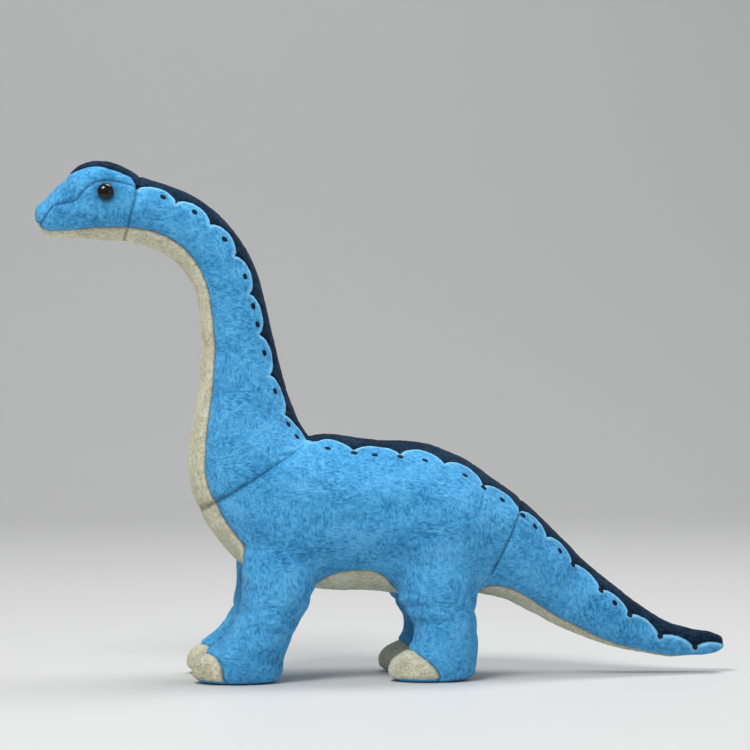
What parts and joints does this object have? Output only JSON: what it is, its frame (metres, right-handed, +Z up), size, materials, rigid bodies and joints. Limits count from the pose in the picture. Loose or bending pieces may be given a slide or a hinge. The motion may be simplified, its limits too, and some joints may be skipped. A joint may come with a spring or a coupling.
{
  "type": "stuffed long-necked dinosaur",
  "caption": "Standing long-necked plush dinosaur with flexing neck, head, tail and legs, sewn panels over stuffing.",
  "frame": {"origin": "on the ground, at the bottom centre of the bounding box", "axes": "+X towards the tail, -X towards the snout, +Z up, -Y towards the animal's left side"},
  "size_m": [0.4296, 0.0914, 0.3188],
  "materials": {
    "blue_plush": "short-pile plush",
    "navy_plush": "short-pile plush",
    "cream_plush": "short-pile plush",
    "navy_thread": "satin embroidery thread",
    "stuffing": "polyester fibre fill",
    "eye_black": "polished",
    "washer_white": "moulded"
  },
  "bodies": {
    "body": {"body_stuffing": "stuffing", "body_back": "navy_plush", "body_left": "blue_plush", "body_right": "blue_plush", "belly": "cream_plush", "body_spots": "navy_thread"},
    "lower_neck": {"lower_neck_stuffing": "stuffing", "lower_neck_back": "navy_plush", "lower_neck_left": "blue_plush", "lower_neck_right": "blue_plush", "lower_neck_throat": "cream_plush", "lower_neck_spots": "navy_thread"},
    "upper_neck": {"upper_neck_stuffing": "stuffing", "upper_neck_back": "navy_plush", "upper_neck_left": "blue_plush", "upper_neck_right": "blue_plush", "upper_neck_throat": "cream_plush", "upper_neck_spots": "navy_thread"},
    "head": {"head_stuffing": "stuffing", "crest": "navy_plush", "brow_left": "blue_plush", "brow_right": "blue_plush", "cheek_left": "blue_plush", "cheek_right": "blue_plush", "chin": "cream_plush", "eye_left": "eye_black", "eye_right": "eye_black", "eye_washers": "washer_white"},
    "tail": {"tail_stuffing": "stuffing", "tail_back": "navy_plush", "tail_left": "blue_plush", "tail_right": "blue_plush", "tail_underside": "cream_plush", "tail_spots": "navy_thread"},
    "tail_tip": {"tail_tip_stuffing": "stuffing", "tail_tip_back": "navy_plush", "tail_tip_left": "blue_plush", "tail_tip_right": "blue_plush", "tail_tip_underside": "cream_plush", "tail_tip_spots": "navy_thread"},
    "front_left_leg": {"front_left_leg_stuffing": "stuffing", "front_left_leg_outer": "blue_plush", "front_left_leg_inner": "blue_plush", "front_left_toe_cap": "cream_plush", "front_left_sole": "blue_plush"},
    "front_right_leg": {"front_right_leg_stuffing": "stuffing", "front_right_leg_outer": "blue_plush", "front_right_leg_inner": "blue_plush", "front_right_toe_cap": "cream_plush", "front_right_sole": "blue_plush"},
    "hind_left_leg": {"hind_left_leg_stuffing": "stuffing", "hind_left_leg_outer": "blue_plush", "hind_left_leg_inner": "blue_plush", "hind_left_toe_cap": "cream_plush", "hind_left_sole": "blue_plush"},
    "hind_right_leg": {"hind_right_leg_stuffing": "stuffing", "hind_right_leg_outer": "blue_plush", "hind_right_leg_inner": "blue_plush", "hind_right_toe_cap": "cream_plush", "hind_right_sole": "blue_plush"}
  },
  "joints": [
    {"name": "neck_nod", "type": "hinge", "parent": "body", "child": "lower_neck", "pos_m": [-0.08574, 0, 0.14992], "axis": [0, 1, 0], "range_deg": [-15, 12], "stiffness_Nm_per_rad": 0.8},
    {"name": "neck_sway", "type": "hinge", "parent": "lower_neck", "child": "upper_neck", "pos_m": [-0.09481, 0, 0.23198], "axis": [1, 0, 0], "range_deg": [-20, 20], "stiffness_Nm_per_rad": 0.5},
    {"name": "head_nod", "type": "hinge", "parent": "upper_neck", "child": "head", "pos_m": [-0.14592, 0, 0.28652], "axis": [0, 1, 0], "range_deg": [-15, 15], "stiffness_Nm_per_rad": 0.3},
    {"name": "tail_sway", "type": "hinge", "parent": "body", "child": "tail", "pos_m": [0.08702, 0, 0.07145], "axis": [0.5, 0, 0.866], "range_deg": [-20, 20], "stiffness_Nm_per_rad": 0.4},
    {"name": "tail_lift", "type": "hinge", "parent": "tail", "child": "tail_tip", "pos_m": [0.14971, 0, 0.03081], "axis": [0, 1, 0], "range_deg": [-25, 4], "stiffness_Nm_per_rad": 0.15},
    {"name": "front_left_leg_swing", "type": "hinge", "parent": "body", "child": "front_left_leg", "pos_m": [-0.069, -0.027, 0.072], "axis": [0, 1, 0], "range_deg": [-12, 6], "stiffness_Nm_per_rad": 1.5},
    {"name": "front_right_leg_swing", "type": "hinge", "parent": "body", "child": "front_right_leg", "pos_m": [-0.069, 0.027, 0.072], "axis": [0, 1, 0], "range_deg": [-12, 6], "stiffness_Nm_per_rad": 1.5},
    {"name": "hind_left_leg_swing", "type": "hinge", "parent": "body", "child": "hind_left_leg", "pos_m": [0.0305, -0.027, 0.062], "axis": [0, 1, 0], "range_deg": [-12, 12], "stiffness_Nm_per_rad": 1.5},
    {"name": "hind_right_leg_swing", "type": "hinge", "parent": "body", "child": "hind_right_leg", "pos_m": [0.0305, 0.027, 0.062], "axis": [0, 1, 0], "range_deg": [-12, 12], "stiffness_Nm_per_rad": 1.5}
  ]
}
